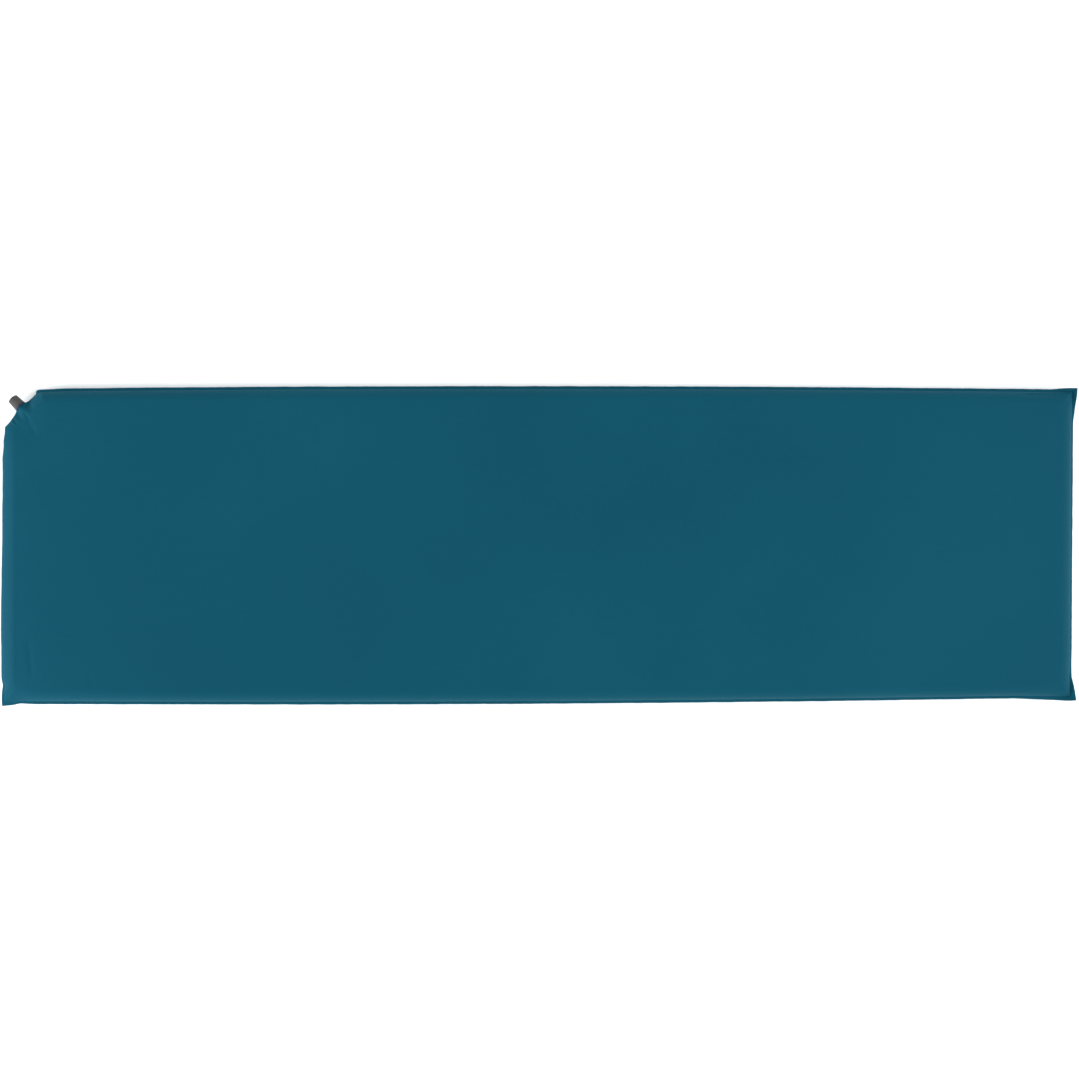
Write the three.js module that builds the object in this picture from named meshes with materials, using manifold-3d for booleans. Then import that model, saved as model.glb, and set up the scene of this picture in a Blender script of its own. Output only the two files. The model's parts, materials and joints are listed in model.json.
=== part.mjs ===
// Self-inflating sleeping pad: a foam slab sealed between two laminated cloth covers, with a screw valve welded into
// one cut corner. Millimetres, +Z up, +X along the pad. The origin is the centre of the face the pad lies on.
// The pad lies flat and inflated, and its valve is screwed shut.
import * as THREE from "three";
import { mergeVertices } from "three/addons/utils/BufferGeometryUtils.js";
import Module from "manifold-3d";

const wasm = await Module();
wasm.setup();

// ---------------------------------------------------------------- driving dimensions
const HALF_LENGTH = 925; // to the tips of the corner ears
const HALF_WIDTH = 273; // to the seam edge, half way along the pad
const HEIGHT = 30;
const GRIP_PRINT = 0.4; // anti-slip print under the pad
const SIDE_BOW = 5.5; // the long sides are this much fuller at their middle than at their ends
const LAYER_GAP = 0.3; // between neighbouring layers, and 0.15 in the flange

const COVER_BASE = GRIP_PRINT + 0.1; // height of the lower cover's flat face
const SEAM_HEIGHT = (COVER_BASE + HEIGHT) / 2;
const HALF_BODY = (HEIGHT - COVER_BASE) / 2;
const FLANGE_WIDTH = 5; // welded strip all round the pad
const WALL_REACH = 20; // plan width of the rounded side, from the weld to the flat face
const SHOULDER_RADIUS = 26; // plan radius of the flat faces' corners
const WALL_ANGLES = [0, 24, 46, 68, 90].map(THREE.MathUtils.degToRad);

// Each skin of the sandwich: how far it lies above the seam plane in the flange, how far inside the outer cloth it
// lies in the side wall, and how far below the flat face.
const COVER_OUTER = { flange: 0.95, inset: 0 };
const COVER_INNER = { flange: 0.5, inset: 0.5 };
const FILM_OUTER = { flange: 0.35, inset: COVER_INNER.inset + LAYER_GAP };
const FILM_INNER = { flange: 0.1, inset: FILM_OUTER.inset + 0.25 };
const FOAM_SURFACE = { flange: 0, inset: FILM_INNER.inset + LAYER_GAP };

// Corners of the pad, anticlockwise from above. "at" is where the two pulled-in edges would meet. "ear" carries the
// seam from there to the corner's real place, and fades out over "reach" along the edge before it and the edge after.
const EDGE_LEFT = -(HALF_LENGTH - 3);
const EDGE_RIGHT = HALF_LENGTH - 7;
const EDGE_SIDE = HALF_WIDTH - SIDE_BOW;
const LEAN = [-3, -5]; // how far the lower ends of the left and right edges stand to the left of their upper ends
const CORNER_CUT = 64; // the valve corner is cut off at 45 degrees, this far along both edges
const CORNERS = [
  { at: [EDGE_LEFT + LEAN[0], -EDGE_SIDE], ear: [0, -3.7], reach: [30, 28] },
  { at: [EDGE_RIGHT + LEAN[1], -EDGE_SIDE], ear: [9, -5], reach: [80, 37] },
  { at: [EDGE_RIGHT, EDGE_SIDE], ear: [7, 2], reach: [54, 40] },
  { at: [EDGE_LEFT + CORNER_CUT, EDGE_SIDE], ear: [-6.5, -2], reach: [45, 12] },
  { at: [EDGE_LEFT, EDGE_SIDE - CORNER_CUT], ear: [3.9, -0.9], reach: [29, 50] },
].map((c) => ({ ...c, at: new THREE.Vector2(...c.at), ear: new THREE.Vector2(...c.ear) }));
const VALVE_SIDE = 3; // the cut corner's edge runs from CORNERS[3] to CORNERS[4]
const CORNER_STEPS = [0, 10, 20, 32, 48]; // seam points near a corner
const LONGEST_STEP = 200; // between seam points along a side

// Valve, along its own axis from the cut edge outwards.
const TUBE_RADIUS = 7.2;
const TUBE_BORE = 5.6;
const TUBE_INNER_END = -16;
const TUBE_OUTER_END = 5.8;
const NECK_END = 2; // the cloth is drawn out along the tube to here
const NECK_FADE = [9.5, 16]; // it narrows back to the cut edge between these distances from the axis
const NECK_STEPS = [0, 2, 4, 6, 8, 10, 12, 16, 22]; // seam points across the valve, from its middle
const WING_SPAN = 16; // the moulded base's weld wings, each side of the axis
const FAIRING = 6.6; // how widely the cloth fairs down from the tube to the flat seam
const COLLAR = { radius: 10.1, from: 2.3, to: 5 }; // round the base, between the cloth and the cap
const SHOULDER = { radius: 7.2, from: 6.1, to: 7.1 }; // rim of the stem that rests on the base
const STEM = { bore: 3.9, spigot: 5.3, innerEnd: -13, outerEnd: 19.4 };
const O_RING = { middle: 8.6, ring: 5.95, section: 0.75, groove: 4.95 };
const PITCH = 3;
const THREAD_ROWS_PER_PITCH = 8;
const ROUND = 24; // sides of a round piece, and steps in one turn of the thread
const MALE = { root: 5.5, crest: 6.2, baseWidth: 1.5, crestWidth: 0.7, from: 10, to: 17.3 };
const FEMALE = { root: 5.8, crest: 6.5, baseWidth: 2.2, crestWidth: 1.3, from: 10, to: 13.4 };
const STOP_RING = { inner: 5.05, outer: 6.85, from: 18.1, to: 18.9, groove: 4.8, gap: 0.7 };
const CORE = { rim: 3.7, rimInner: 2.9, from: 1.8, to: 4.8, pin: 1.3, head: 4.3, headFrom: 19.8, headTo: 20.8 };
const GASKET = { inner: 3.1, outer: 6, from: 20.95, to: 21.95 };
const CAP = { radius: 9.8, taper: 0.045, ribDepth: 0.45, ribs: 24, from: 5.4, to: 23.4 };
const CAP_BORE = { lip: 7.6, lipEnd: 7.3, skirt: 6.95, cavity: 7.2, cavityEnd: 19.8 };
const CAP_SEAT = { radius: 6.3, from: 20.4, end: 22.25 }; // pocket for the gasket
const MOUTH = { radius: 3.1, flare: 4.3, flareDepth: 1 };

// ---------------------------------------------------------------- colours
const cloth = new THREE.MeshStandardMaterial({ color: 0x1c5b71, roughness: 0.9 });
const underCloth = new THREE.MeshStandardMaterial({ color: 0x1a4f63, roughness: 0.9 });
const film = new THREE.MeshStandardMaterial({ color: 0xb9c6cc, roughness: 0.5 });
const foam = new THREE.MeshStandardMaterial({ color: 0xe7e0cc, roughness: 1 });
const print = new THREE.MeshStandardMaterial({ color: 0x2b3338, roughness: 0.8 });
const capPlastic = new THREE.MeshStandardMaterial({ color: 0x4a4745, roughness: 0.55 });
const stemPlastic = new THREE.MeshStandardMaterial({ color: 0x35343a, roughness: 0.5 });
const basePlastic = new THREE.MeshStandardMaterial({ color: 0x1f2a38, roughness: 0.5 });
const rubber = new THREE.MeshStandardMaterial({ color: 0x17181a, roughness: 0.8 });
const silicone = new THREE.MeshStandardMaterial({ color: 0x9a9c9b, roughness: 0.7 });

// ---------------------------------------------------------------- solids
// A closed surface through rings of equal length, with flat lids over the first and the last.
function loft(rings) {
  const size = rings[0].length;
  const triangles = [];
  for (let r = 0; r + 1 < rings.length; r++)
    for (let j = 0; j < size; j++) {
      const [a, b] = [r * size + j, r * size + ((j + 1) % size)];
      triangles.push([a, b, b + size], [a, b + size, a + size]);
    }
  const lid = (ring) => {
    const outline = flat(ring);
    const faces = THREE.ShapeUtils.triangulateShape(outline, []);
    return THREE.ShapeUtils.isClockWise(outline) ? faces.map(([a, b, c]) => [a, c, b]) : faces;
  };
  lid(rings[0]).forEach(([a, b, c]) => triangles.push([a, c, b]));
  const last = (rings.length - 1) * size;
  lid(rings.at(-1)).forEach(([a, b, c]) => triangles.push([last + a, last + b, last + c]));
  return facingOut(rings.flat(), triangles);
}

// A ring's points in two dimensions, leaving out the axis along which it is flattest.
function flat(ring) {
  const size = new THREE.Box3().setFromPoints(ring).getSize(new THREE.Vector3());
  const drop = ["x", "y", "z"].sort((p, q) => size[p] - size[q])[0];
  const [u, w] = { x: ["y", "z"], y: ["z", "x"], z: ["x", "y"] }[drop];
  return ring.map((p) => new THREE.Vector2(p[u], p[w]));
}

// An indexed geometry, with its triangles turned so that they face outwards.
function facingOut(points, triangles) {
  const volume = triangles.reduce(
    (sum, [a, b, c]) => sum + points[a].dot(new THREE.Vector3().crossVectors(points[b], points[c])), 0);
  const index = triangles.flatMap(([a, b, c]) => (volume < 0 ? [a, c, b] : [a, b, c]));
  return new THREE.BufferGeometry().setFromPoints(points).setIndex(index);
}

function toSolid(geometry) {
  const bare = new THREE.BufferGeometry().setAttribute("position", geometry.getAttribute("position"));
  bare.setIndex(geometry.getIndex());
  const merged = mergeVertices(bare, 1e-4);
  const corners = Array.from(merged.index.array);
  const real = corners.filter((_, i) => {
    const [a, b, c] = corners.slice(i - (i % 3), i - (i % 3) + 3);
    return a !== b && b !== c && c !== a;
  });
  return new wasm.Manifold(new wasm.Mesh({
    numProp: 3,
    vertProperties: merged.attributes.position.array,
    triVerts: new Uint32Array(real),
  }));
}

function toGeometry(solid) {
  const mesh = solid.getMesh();
  return new THREE.BufferGeometry()
    .setAttribute("position", new THREE.BufferAttribute(mesh.vertProperties, 3))
    .setIndex(new THREE.BufferAttribute(mesh.triVerts, 1));
}

// A solid of revolution about Y from [radius, y] pairs that start and end on the axis.
function turned(profile, sides = ROUND) {
  return new THREE.LatheGeometry(profile.map(([r, y]) => new THREE.Vector2(r, y)), sides);
}

// A plain tube about Y.
function ringOf(inner, outer, from, to) {
  const section = [[inner, from], [outer, from], [outer, to], [inner, to], [inner, from]];
  return turned(section);
}

function rod(radius, from, to) {
  return turned([[0, from], [radius, from], [radius, to], [0, to]]);
}

// A rod about Y whose surface is radiusAt(y, angle) between the given heights.
function shapedRod(heights, radiusAt, sides = ROUND) {
  const rings = heights.map((y) =>
    Array.from({ length: sides }, (_, i) => {
      const angle = (i / sides) * 2 * Math.PI;
      const r = radiusAt(y, angle);
      return new THREE.Vector3(r * Math.sin(angle), y, r * Math.cos(angle));
    }));
  return loft(rings);
}

// ---------------------------------------------------------------- seam line
// How far the cloth stands off the seam plane, at a distance across the valve's axis.
function valveLift(across) {
  return (TUBE_RADIUS + 0.2) * Math.exp(-0.55 * Math.abs(across / FAIRING) ** 2.2);
}

// How far the seam's edge is drawn out along the valve.
function neckReach(across) {
  return NECK_END * (1 - THREE.MathUtils.smoothstep(Math.abs(across), ...NECK_FADE));
}

function inwardOf(direction) {
  return new THREE.Vector2(-direction.y, direction.x);
}

// The inward step that moves both edges of a corner in by 1.
function mitre(n1, n2) {
  return n1.clone().add(n2).divideScalar(1 + n1.dot(n2));
}

// Distances along a side at which the seam has a point, from its first corner up to just before its second.
function stepsAlong(side, length) {
  if (side === VALVE_SIDE) {
    const across = [...NECK_STEPS.slice(1).reverse().map((s) => -s), ...NECK_STEPS];
    return [0, 4, 8, 12, 17, ...across.map((s) => length / 2 + s), length - 16, length - 10, length - 5];
  }
  const near = CORNER_STEPS.at(-1);
  const spans = Math.ceil((length - 2 * near) / LONGEST_STEP);
  const middle = Array.from({ length: spans - 1 }, (_, i) => near + ((i + 1) * (length - 2 * near)) / spans);
  return [...CORNER_STEPS, ...middle, ...CORNER_STEPS.slice(1).reverse().map((s) => length - s)];
}

// Where the rounded shoulder of the flat face lies for a seam point this far from a corner: on the corner's arc when
// it is near, and otherwise straight in from the seam.
function shoulderPoint(corner, distance, ownInward, otherInward, straightIn) {
  const turn = Math.acos(THREE.MathUtils.clamp(ownInward.dot(otherInward), -1, 1));
  const inset = FLANGE_WIDTH + WALL_REACH;
  const arcStart = (inset + SHOULDER_RADIUS) * Math.tan(turn / 2);
  const along = 1 - distance / arcStart;
  if (along <= 0) return straightIn;
  const centre = corner.at.clone().addScaledVector(mitre(ownInward, otherInward), inset + SHOULDER_RADIUS);
  const way = Math.sign(ownInward.cross(otherInward)) * (turn / 2) * along;
  const outward = ownInward.clone().rotateAround(new THREE.Vector2(), way).negate();
  return centre.addScaledVector(outward, SHOULDER_RADIUS);
}

// Stations round the pad: the seam's edge, the weld line, the shoulder of the flat face, and the lift over the valve.
function seamStations() {
  const count = CORNERS.length;
  const way = (i) => CORNERS[(i + 1) % count].at.clone().sub(CORNERS[i % count].at).normalize();
  return CORNERS.flatMap((first, side) => {
    const second = CORNERS[(side + 1) % count];
    const direction = way(side);
    const inward = inwardOf(direction);
    const before = inwardOf(way(side + count - 1));
    const after = inwardOf(way(side + 1));
    const length = first.at.distanceTo(second.at);
    const isLong = Math.abs(direction.x) === 1;
    return stepsAlong(side, length).map((step) => {
      const line = first.at.clone().addScaledVector(direction, step);
      const bow = isLong ? SIDE_BOW * (1 - (line.x / HALF_LENGTH) ** 2) : 0;
      const pulled = (corner, distance, reach) => {
        const t = Math.min(distance / reach, 1);
        return corner.ear.clone().multiplyScalar(1 - t ** 1.4);
      };
      const bowed = line.clone().addScaledVector(inward, -bow);
      const ears = pulled(first, step, first.reach[1]).add(pulled(second, length - step, second.reach[0]));
      const across = side === VALVE_SIDE ? step - length / 2 : Infinity;
      const inStep = step === 0 ? mitre(before, inward) : inward;
      const edge = bowed.clone().add(ears);
      const straightIn = bowed.clone().addScaledVector(inward, FLANGE_WIDTH + WALL_REACH);
      const nearFirst = step < length / 2;
      return {
        edge: edge.clone().addScaledVector(inward, -neckReach(across)),
        weld: edge.clone().addScaledVector(inStep, FLANGE_WIDTH),
        inward: inStep,
        shoulder: nearFirst
          ? shoulderPoint(first, step, inward, before, straightIn)
          : shoulderPoint(second, length - step, inward, after, straightIn),
        lift: valveLift(across),
        across,
      };
    });
  });
}

const STATIONS = seamStations();

// ---------------------------------------------------------------- layers of the sandwich
// Rings of one skin from its flat face down and out to the seam's edge. up is 1 above the seam plane, -1 below it.
function skinRings(skin, up) {
  const top = HALF_BODY - skin.inset;
  const at = (p, z) => new THREE.Vector3(p.x, p.y, SEAM_HEIGHT + up * z);
  const wall = [...WALL_ANGLES].reverse().map((angle) =>
    STATIONS.map((s) => {
      const start = s.weld.clone().addScaledVector(s.inward, skin.inset);
      const base = skin.flange + s.lift;
      return at(start.lerp(s.shoulder, 1 - Math.cos(angle)), base + (top - base) * Math.sin(angle));
    }));
  const rim = STATIONS.map((s) => at(s.edge, skin.flange + s.lift));
  return [...wall, rim];
}

// A sheet between two skins, open on the seam plane's side.
function sheet(outer, inner, up) {
  return loft([...skinRings(outer, up), ...skinRings(inner, up).reverse()]);
}

// The foam slab: rounded at the sides by the covers, and cut back round the valve's inner end.
function foamSlab() {
  const top = HALF_BODY - FOAM_SURFACE.inset;
  const cutBack = 20;
  const cutHalfWidth = 34;
  const outwardOfValve = new THREE.Vector2(-1, 1).normalize();
  const ring = (angle) =>
    STATIONS.map((s) => {
      const notch = THREE.MathUtils.smoothstep(cutHalfWidth - Math.abs(s.across), 0, cutHalfWidth);
      const p = s.weld.clone().addScaledVector(s.inward, FOAM_SURFACE.inset + 1);
      p.lerp(s.shoulder, 1 - Math.cos(angle)).addScaledVector(outwardOfValve, -cutBack * notch);
      return new THREE.Vector3(p.x, p.y, SEAM_HEIGHT + top * Math.sin(angle));
    });
  const angles = [...WALL_ANGLES.slice(1).reverse().map((a) => -a), ...WALL_ANGLES];
  return loft(angles.map(ring));
}

// The field of anti-slip print, as one thin sheet under the flat face.
function gripPrint() {
  const margin = 40;
  const corner = 24;
  const [x, y] = [HALF_LENGTH - margin - corner, HALF_WIDTH - margin - corner];
  const shape = new THREE.Shape();
  shape.absarc(x, -y, corner, -Math.PI / 2, 0);
  shape.absarc(x, y, corner, 0, Math.PI / 2);
  shape.lineTo(-x + 2 * corner, y + corner);
  shape.lineTo(-x - corner, y - 2 * corner);
  shape.absarc(-x, -y, corner, Math.PI, 1.5 * Math.PI);
  return new THREE.ExtrudeGeometry(shape, { depth: GRIP_PRINT, bevelEnabled: false, curveSegments: 5 });
}

// ---------------------------------------------------------------- valve
// Moulded base: a collared tube with two tapered weld wings, grooved so that the film keys into them.
function valveBase() {
  const grooveShare = 0.06;
  const land = [-5, -4.6, -4.4, -3.9, -3.7, -3.2, -3, -2.5, -2.3, -1.8, -1.6];
  const grooved = (i) => i % 4 === 2 || i % 4 === 3;
  const across = NECK_STEPS.filter((s) => s <= WING_SPAN);
  const sections = [...across.slice(1).reverse().map((s) => -s), ...across].map((s) => {
    const lift = valveLift(s);
    const outer = Math.max(neckReach(s) - 0.5, -1);
    const stops = [...land, outer];
    const side = (up) => stops.map((y, i) =>
      new THREE.Vector3(s, y, up * lift * (grooved(i) ? 1 - grooveShare : 1)));
    return [...side(1), ...side(-1).reverse()];
  });
  return toGeometry(
    toSolid(loft(sections))
      .add(toSolid(rod(TUBE_RADIUS, TUBE_INNER_END, TUBE_OUTER_END)))
      .add(toSolid(rod(COLLAR.radius, COLLAR.from, COLLAR.to)))
      .subtract(toSolid(rod(TUBE_BORE, TUBE_INNER_END - 1, TUBE_OUTER_END + 1))));
}

// Radius of a screw thread's surface, fading out over the last part of its length at both ends.
function threadRadius(thread, y, angle) {
  const run = (y - thread.from) / PITCH - angle / (2 * Math.PI);
  const offset = Math.abs(run - Math.round(run)) * PITCH;
  const flank = (thread.baseWidth - thread.crestWidth) / 2;
  const tooth = THREE.MathUtils.clamp((thread.baseWidth / 2 - offset) / flank, 0, 1);
  return thread.root + (thread.crest - thread.root) * tooth;
}

function threadHeights(thread) {
  const rows = Math.round(((thread.to - thread.from) / PITCH) * THREAD_ROWS_PER_PITCH);
  return Array.from({ length: rows + 1 }, (_, i) => thread.from + (i * (thread.to - thread.from)) / rows);
}

// Threaded stem, pushed into the base, with grooves for the O-ring and for the stop ring.
function valveStem() {
  const rootRod = turned([
    [0, STEM.innerEnd], [STEM.spigot - 0.6, STEM.innerEnd], [STEM.spigot, STEM.innerEnd + 1],
    [STEM.spigot, SHOULDER.from], [SHOULDER.radius, SHOULDER.from], [SHOULDER.radius, SHOULDER.to],
    [O_RING.groove, O_RING.middle - 0.9], [O_RING.groove, O_RING.middle + 0.9],
    [MALE.root, O_RING.middle + 1], [MALE.root, STOP_RING.from - 0.2],
    [STOP_RING.groove, STOP_RING.from - 0.2], [STOP_RING.groove, STOP_RING.to + 0.2],
    [MALE.root - 0.1, STOP_RING.to + 0.2], [MALE.root - 0.3, STEM.outerEnd], [0, STEM.outerEnd],
  ]);
  const fade = 0.8;
  const heights = threadHeights(MALE);
  const thread = shapedRod(heights, (y, angle) => {
    const end = Math.min(y - MALE.from, MALE.to - y);
    const share = THREE.MathUtils.clamp(end / fade, 0, 1);
    return THREE.MathUtils.lerp(MALE.root - 0.05, threadRadius(MALE, y, angle), share);
  });
  const bore = rod(STEM.bore, STEM.innerEnd - 1, STEM.outerEnd + 1);
  return toGeometry(toSolid(rootRod).add(toSolid(thread)).subtract(toSolid(bore)));
}

// Seat plug: a disc on a pin, held in the stem by a rim and three spokes that let the air past.
function valveCore() {
  const spokeWidth = 1.1;
  const pin = turned([
    [0, CORE.from], [CORE.pin, CORE.from], [CORE.pin, CORE.headFrom - 0.8], [CORE.head, CORE.headFrom],
    [CORE.head, CORE.headTo - 0.3], [CORE.head - 0.3, CORE.headTo], [0, CORE.headTo],
  ]);
  let solid = toSolid(ringOf(CORE.rimInner, CORE.rim, CORE.from, CORE.to)).add(toSolid(pin));
  const reach = (CORE.rim + CORE.rimInner) / 2;
  for (let i = 0; i < 3; i++) {
    const spoke = new THREE.BoxGeometry(spokeWidth, CORE.to - CORE.from - 0.4, reach);
    spoke.translate(0, (CORE.from + CORE.to) / 2, reach / 2).rotateY((i * 2 * Math.PI) / 3);
    solid = solid.add(toSolid(spoke));
  }
  return toGeometry(solid);
}

function oRing() {
  const sides = 8;
  const section = Array.from({ length: sides + 1 }, (_, i) => {
    const angle = (i / sides) * 2 * Math.PI;
    return [O_RING.ring + O_RING.section * Math.cos(angle), O_RING.middle + O_RING.section * Math.sin(angle)];
  });
  return turned(section);
}

// Split ring that stops the cap from coming off the stem.
function stopRing() {
  const slot = new THREE.BoxGeometry(STOP_RING.outer, 4, STOP_RING.gap);
  slot.translate(-STOP_RING.outer, (STOP_RING.from + STOP_RING.to) / 2, 0);
  const ring = ringOf(STOP_RING.inner, STOP_RING.outer, STOP_RING.from, STOP_RING.to);
  return toGeometry(toSolid(ring).subtract(toSolid(slot)));
}

// Ribbed screw cap with a crowned end, a mouth through it, a gasket pocket and an internal thread.
function valveCap() {
  const pointsPerRib = 4;
  const dome = [[20, 0], [21.2, 0.4], [22.3, 1.3], [23, 2.5], [CAP.to, 4]]; // [height, step in from the side]
  const stepIn = new Map([[CAP.from, 0.6], [CAP.from + 0.6, 0], ...dome]);
  const outer = shapedRod(
    [...stepIn.keys()],
    (y, angle) => {
      const inRib = Math.round((angle / (2 * Math.PI)) * CAP.ribs * pointsPerRib) % pointsPerRib < 2;
      const rib = stepIn.get(y) === 0 && !inRib ? CAP.ribDepth : 0;
      return CAP.radius - CAP.taper * (y - CAP.from) - Math.max(stepIn.get(y), rib);
    },
    CAP.ribs * pointsPerRib);
  const hollow = turned([
    [0, CAP.from - 1], [CAP_BORE.lip, CAP.from - 1], [CAP_BORE.lip, CAP_BORE.lipEnd],
    [CAP_BORE.skirt, CAP_BORE.lipEnd + 0.3], [CAP_BORE.skirt, FEMALE.from - 0.4], [FEMALE.root, FEMALE.from],
    [FEMALE.root, FEMALE.to], [CAP_BORE.cavity, FEMALE.to + 0.2], [CAP_BORE.cavity, CAP_BORE.cavityEnd],
    [CAP_SEAT.radius, CAP_SEAT.from], [CAP_SEAT.radius, CAP_SEAT.end], [MOUTH.radius, CAP_SEAT.end],
    [MOUTH.radius, CAP.to - MOUTH.flareDepth], [MOUTH.flare, CAP.to], [MOUTH.flare, CAP.to + 1], [0, CAP.to + 1],
  ]);
  const thread = shapedRod(threadHeights({ ...FEMALE, from: FEMALE.from - 0.3, to: FEMALE.to + 0.3 }),
    (y, angle) => threadRadius(FEMALE, y, angle));
  return toGeometry(toSolid(outer).subtract(toSolid(hollow)).subtract(toSolid(thread)));
}

// ---------------------------------------------------------------- assembly
function piece(name, geometry, material) {
  const mesh = new THREE.Mesh(geometry, material);
  mesh.name = name;
  return mesh;
}

const pad = new THREE.Group();
pad.add(
  piece("top_cover", sheet(COVER_OUTER, COVER_INNER, 1), cloth),
  piece("top_film", sheet(FILM_OUTER, FILM_INNER, 1), film),
  piece("foam_core", foamSlab(), foam),
  piece("bottom_film", sheet(FILM_OUTER, FILM_INNER, -1), film),
  piece("bottom_cover", sheet(COVER_OUTER, COVER_INNER, -1), underCloth),
  piece("grip_print", gripPrint(), print));

const valve = new THREE.Group();
const cutMiddle = CORNERS[VALVE_SIDE].at.clone().lerp(CORNERS[VALVE_SIDE + 1].at, 0.5);
valve.position.set(cutMiddle.x, cutMiddle.y, SEAM_HEIGHT);
valve.rotation.z = Math.PI / 4; // its axis, local +Y, points out of the cut corner
valve.add(
  piece("valve_base", valveBase(), basePlastic),
  piece("valve_stem", valveStem(), stemPlastic),
  piece("valve_core", valveCore(), stemPlastic),
  piece("stem_o_ring", oRing(), rubber),
  piece("cap_stop_ring", stopRing(), stemPlastic),
  piece("cap_gasket", ringOf(GASKET.inner, GASKET.outer, GASKET.from, GASKET.to), silicone),
  piece("valve_cap", valveCap(), capPlastic));
pad.add(valve);

export default pad;
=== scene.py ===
"""Self-inflating sleeping pad: cloth covers, films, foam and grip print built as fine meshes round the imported
CAD frame, with a moulded screw valve in the cut corner. Lengths are in metres."""

import json
import math

import bmesh
import bpy
import numpy as np
from mathutils import Matrix, Vector, noise


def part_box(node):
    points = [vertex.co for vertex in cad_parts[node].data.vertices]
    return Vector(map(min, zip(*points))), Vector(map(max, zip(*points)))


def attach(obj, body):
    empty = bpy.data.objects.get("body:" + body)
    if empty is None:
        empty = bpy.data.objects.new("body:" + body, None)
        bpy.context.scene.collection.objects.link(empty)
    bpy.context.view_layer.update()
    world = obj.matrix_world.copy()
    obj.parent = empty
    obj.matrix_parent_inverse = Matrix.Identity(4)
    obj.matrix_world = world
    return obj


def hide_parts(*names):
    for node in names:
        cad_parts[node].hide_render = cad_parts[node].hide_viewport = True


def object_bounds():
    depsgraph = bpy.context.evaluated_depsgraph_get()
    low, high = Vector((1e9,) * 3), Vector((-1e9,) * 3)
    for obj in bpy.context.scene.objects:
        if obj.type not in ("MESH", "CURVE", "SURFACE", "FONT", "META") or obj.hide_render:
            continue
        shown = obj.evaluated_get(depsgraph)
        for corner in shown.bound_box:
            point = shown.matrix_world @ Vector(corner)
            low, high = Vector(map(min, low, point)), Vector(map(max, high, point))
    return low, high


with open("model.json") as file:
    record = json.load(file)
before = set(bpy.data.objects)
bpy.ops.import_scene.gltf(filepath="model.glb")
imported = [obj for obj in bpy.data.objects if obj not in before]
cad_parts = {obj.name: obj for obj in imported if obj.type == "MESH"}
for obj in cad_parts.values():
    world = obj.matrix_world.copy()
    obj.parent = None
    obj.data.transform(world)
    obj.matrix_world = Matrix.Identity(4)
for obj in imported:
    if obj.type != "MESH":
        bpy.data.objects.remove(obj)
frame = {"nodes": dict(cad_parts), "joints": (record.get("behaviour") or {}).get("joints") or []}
CAD_LOW, CAD_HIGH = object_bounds()

MM = 0.001

# ---------------------------------------------------------------- sizes taken from the frame
TOP_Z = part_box("top_cover")[1].z
BASE_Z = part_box("bottom_cover")[0].z
SEAM_Z = (TOP_Z + BASE_Z) / 2
HALF_BODY = (TOP_Z - BASE_Z) / 2
HALF_LENGTH = CAD_HIGH.x
HALF_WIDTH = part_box("top_cover")[1].y
CAP_TURN = next(j for j in frame["joints"] if j["name"] == "cap_turn")
VALVE_AT = Vector(CAP_TURN["pos_m"])
VALVE_AXIS = Vector(CAP_TURN["axis"]).normalized()

# ---------------------------------------------------------------- seam line, as the CAD solids have it
FLANGE_WIDTH = 5 * MM
WALL_REACH = 20 * MM
SHOULDER_RADIUS = 26 * MM
SIDE_BOW = 5.5 * MM
CORNER_CUT = 64 * MM
EDGE_LEFT = -(HALF_LENGTH - 3 * MM)
EDGE_RIGHT = HALF_LENGTH - 7 * MM
EDGE_SIDE = HALF_WIDTH - SIDE_BOW
# How far the lower ends of the left and right edges stand to the left of their upper ends.
LEAN = (-3 * MM, -5 * MM)
# "at" is where a corner's edges meet. "ear" is the corner's offset from there, which fades out over "reach"
# along the edge before it and the edge after. "rise" is how far the ear's free edge curls up. "drawn" is how
# far the side wall is drawn down to it.
CORNERS = [
    {
        "at": (EDGE_LEFT + LEAN[0], -EDGE_SIDE),
        "ear": (0, -3.7 * MM),
        "reach": (30 * MM, 28 * MM),
        "rise": 0,
        "drawn": 0.8,
    },
    {
        "at": (EDGE_RIGHT + LEAN[1], -EDGE_SIDE),
        "ear": (7 * MM, -5 * MM),
        "reach": (100 * MM, 35 * MM),
        "rise": 7 * MM,
        "drawn": 0.3,
    },
    {
        "at": (EDGE_RIGHT, EDGE_SIDE),
        "ear": (6 * MM, 2 * MM),
        "reach": (54 * MM, 40 * MM),
        "rise": 7 * MM,
        "drawn": 0.3,
    },
    {
        "at": (EDGE_LEFT + CORNER_CUT, EDGE_SIDE),
        "ear": (-6.5 * MM, -2 * MM),
        "reach": (45 * MM, 12 * MM),
        "rise": 0,
        "drawn": 0.8,
    },
    {
        "at": (EDGE_LEFT, EDGE_SIDE - CORNER_CUT),
        "ear": (3.9 * MM, -0.9 * MM),
        "reach": (29 * MM, 50 * MM),
        "rise": 0,
        "drawn": 0.8,
    },
]
FAR_FROM_VALVE = 1.0  # stands for any distance at which nothing round the valve is felt
VALVE_SIDE = 3  # the side that starts at this corner is the cut one, with the valve in its middle
NECK_END = 2 * MM  # how far the covers reach out along the valve's tube
NECK_FADE = (9.5 * MM, 16 * MM)  # and the distances from the valve's axis over which that fades out
NECK_SMOOTH = (12 * MM, 20 * MM)  # the cloth is free of folds within the first of these distances
TUBE_LIFT = 7.4 * MM
FAIRING = 6.6 * MM

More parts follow.
